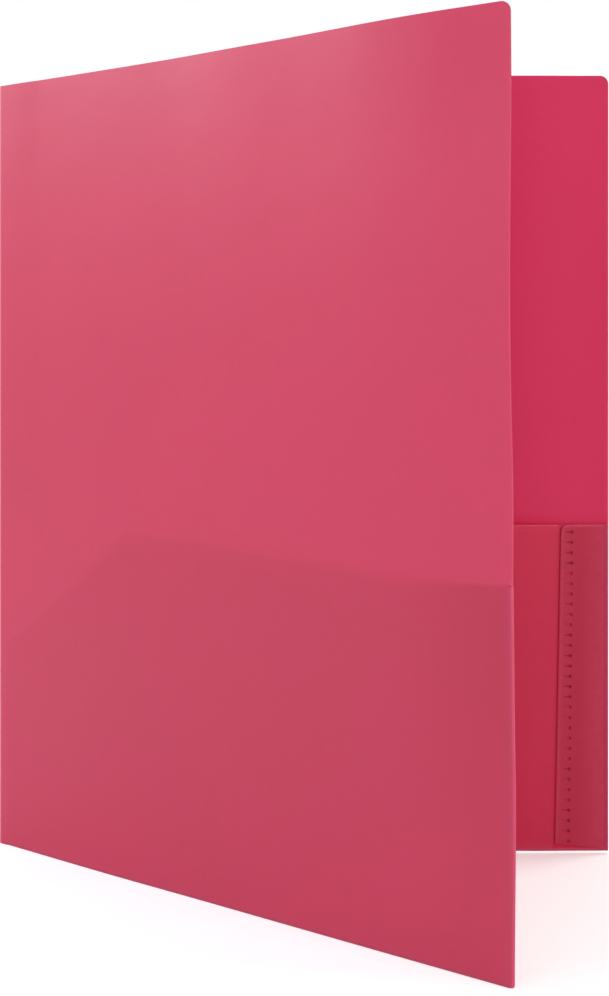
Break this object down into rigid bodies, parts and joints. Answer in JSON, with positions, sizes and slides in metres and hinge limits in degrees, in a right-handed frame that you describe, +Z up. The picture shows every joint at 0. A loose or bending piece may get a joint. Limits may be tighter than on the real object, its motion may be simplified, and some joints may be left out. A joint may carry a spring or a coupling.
{
  "type": "pocket folder",
  "caption": "Translucent plastic pocket folder with covers hinged on a creased spine and a welded flap pocket inside each cover.",
  "frame": {"origin": "middle of the footprint, on the surface that the folder stands on", "axes": "+Z up along the spine, +X from the spine along the back cover, +Y out of the back cover's outside"},
  "size_m": [0.2328, 0.1378, 0.292],
  "materials": {
    "cover_sheet": "translucent coloured polypropylene sheet, fine matt grain",
    "spine_sheet": "translucent coloured polypropylene sheet, fine matt grain",
    "fold_sheet": "translucent coloured polypropylene sheet, fine matt grain",
    "pocket_sheet": "translucent coloured polypropylene sheet, fine matt grain",
    "tab_sheet": "translucent coloured polypropylene sheet, fine matt grain",
    "weld_mark": "melted and pressed polypropylene"
  },
  "bodies": {
    "spine": {"spine_strip": "spine_sheet"},
    "back_half": {"back_cover": "cover_sheet", "back_bottom_fold": "fold_sheet", "back_side_fold": "fold_sheet", "back_pocket_flap": "pocket_sheet", "back_side_tab": "tab_sheet", "back_weld_row": "weld_mark"},
    "front_half": {"front_cover": "cover_sheet", "front_bottom_fold": "fold_sheet", "front_side_fold": "fold_sheet", "front_pocket_flap": "pocket_sheet", "front_side_tab": "tab_sheet", "front_weld_row": "weld_mark"}
  },
  "joints": [
    {"name": "back_crease", "type": "hinge", "parent": "spine", "child": "back_half", "pos_m": [-0.1146, 0.0686, 0], "axis": [0, 0, 1], "range_deg": [-14.5, 157.5]},
    {"name": "front_crease", "type": "hinge", "parent": "spine", "child": "front_half", "pos_m": [-0.1161, 0.06384, 0], "axis": [0, 0, -1], "range_deg": [-14.5, 157.5]}
  ],
  "couplings": [
    {"joint": "front_crease", "follows": "back_crease", "ratio": 1}
  ]
}
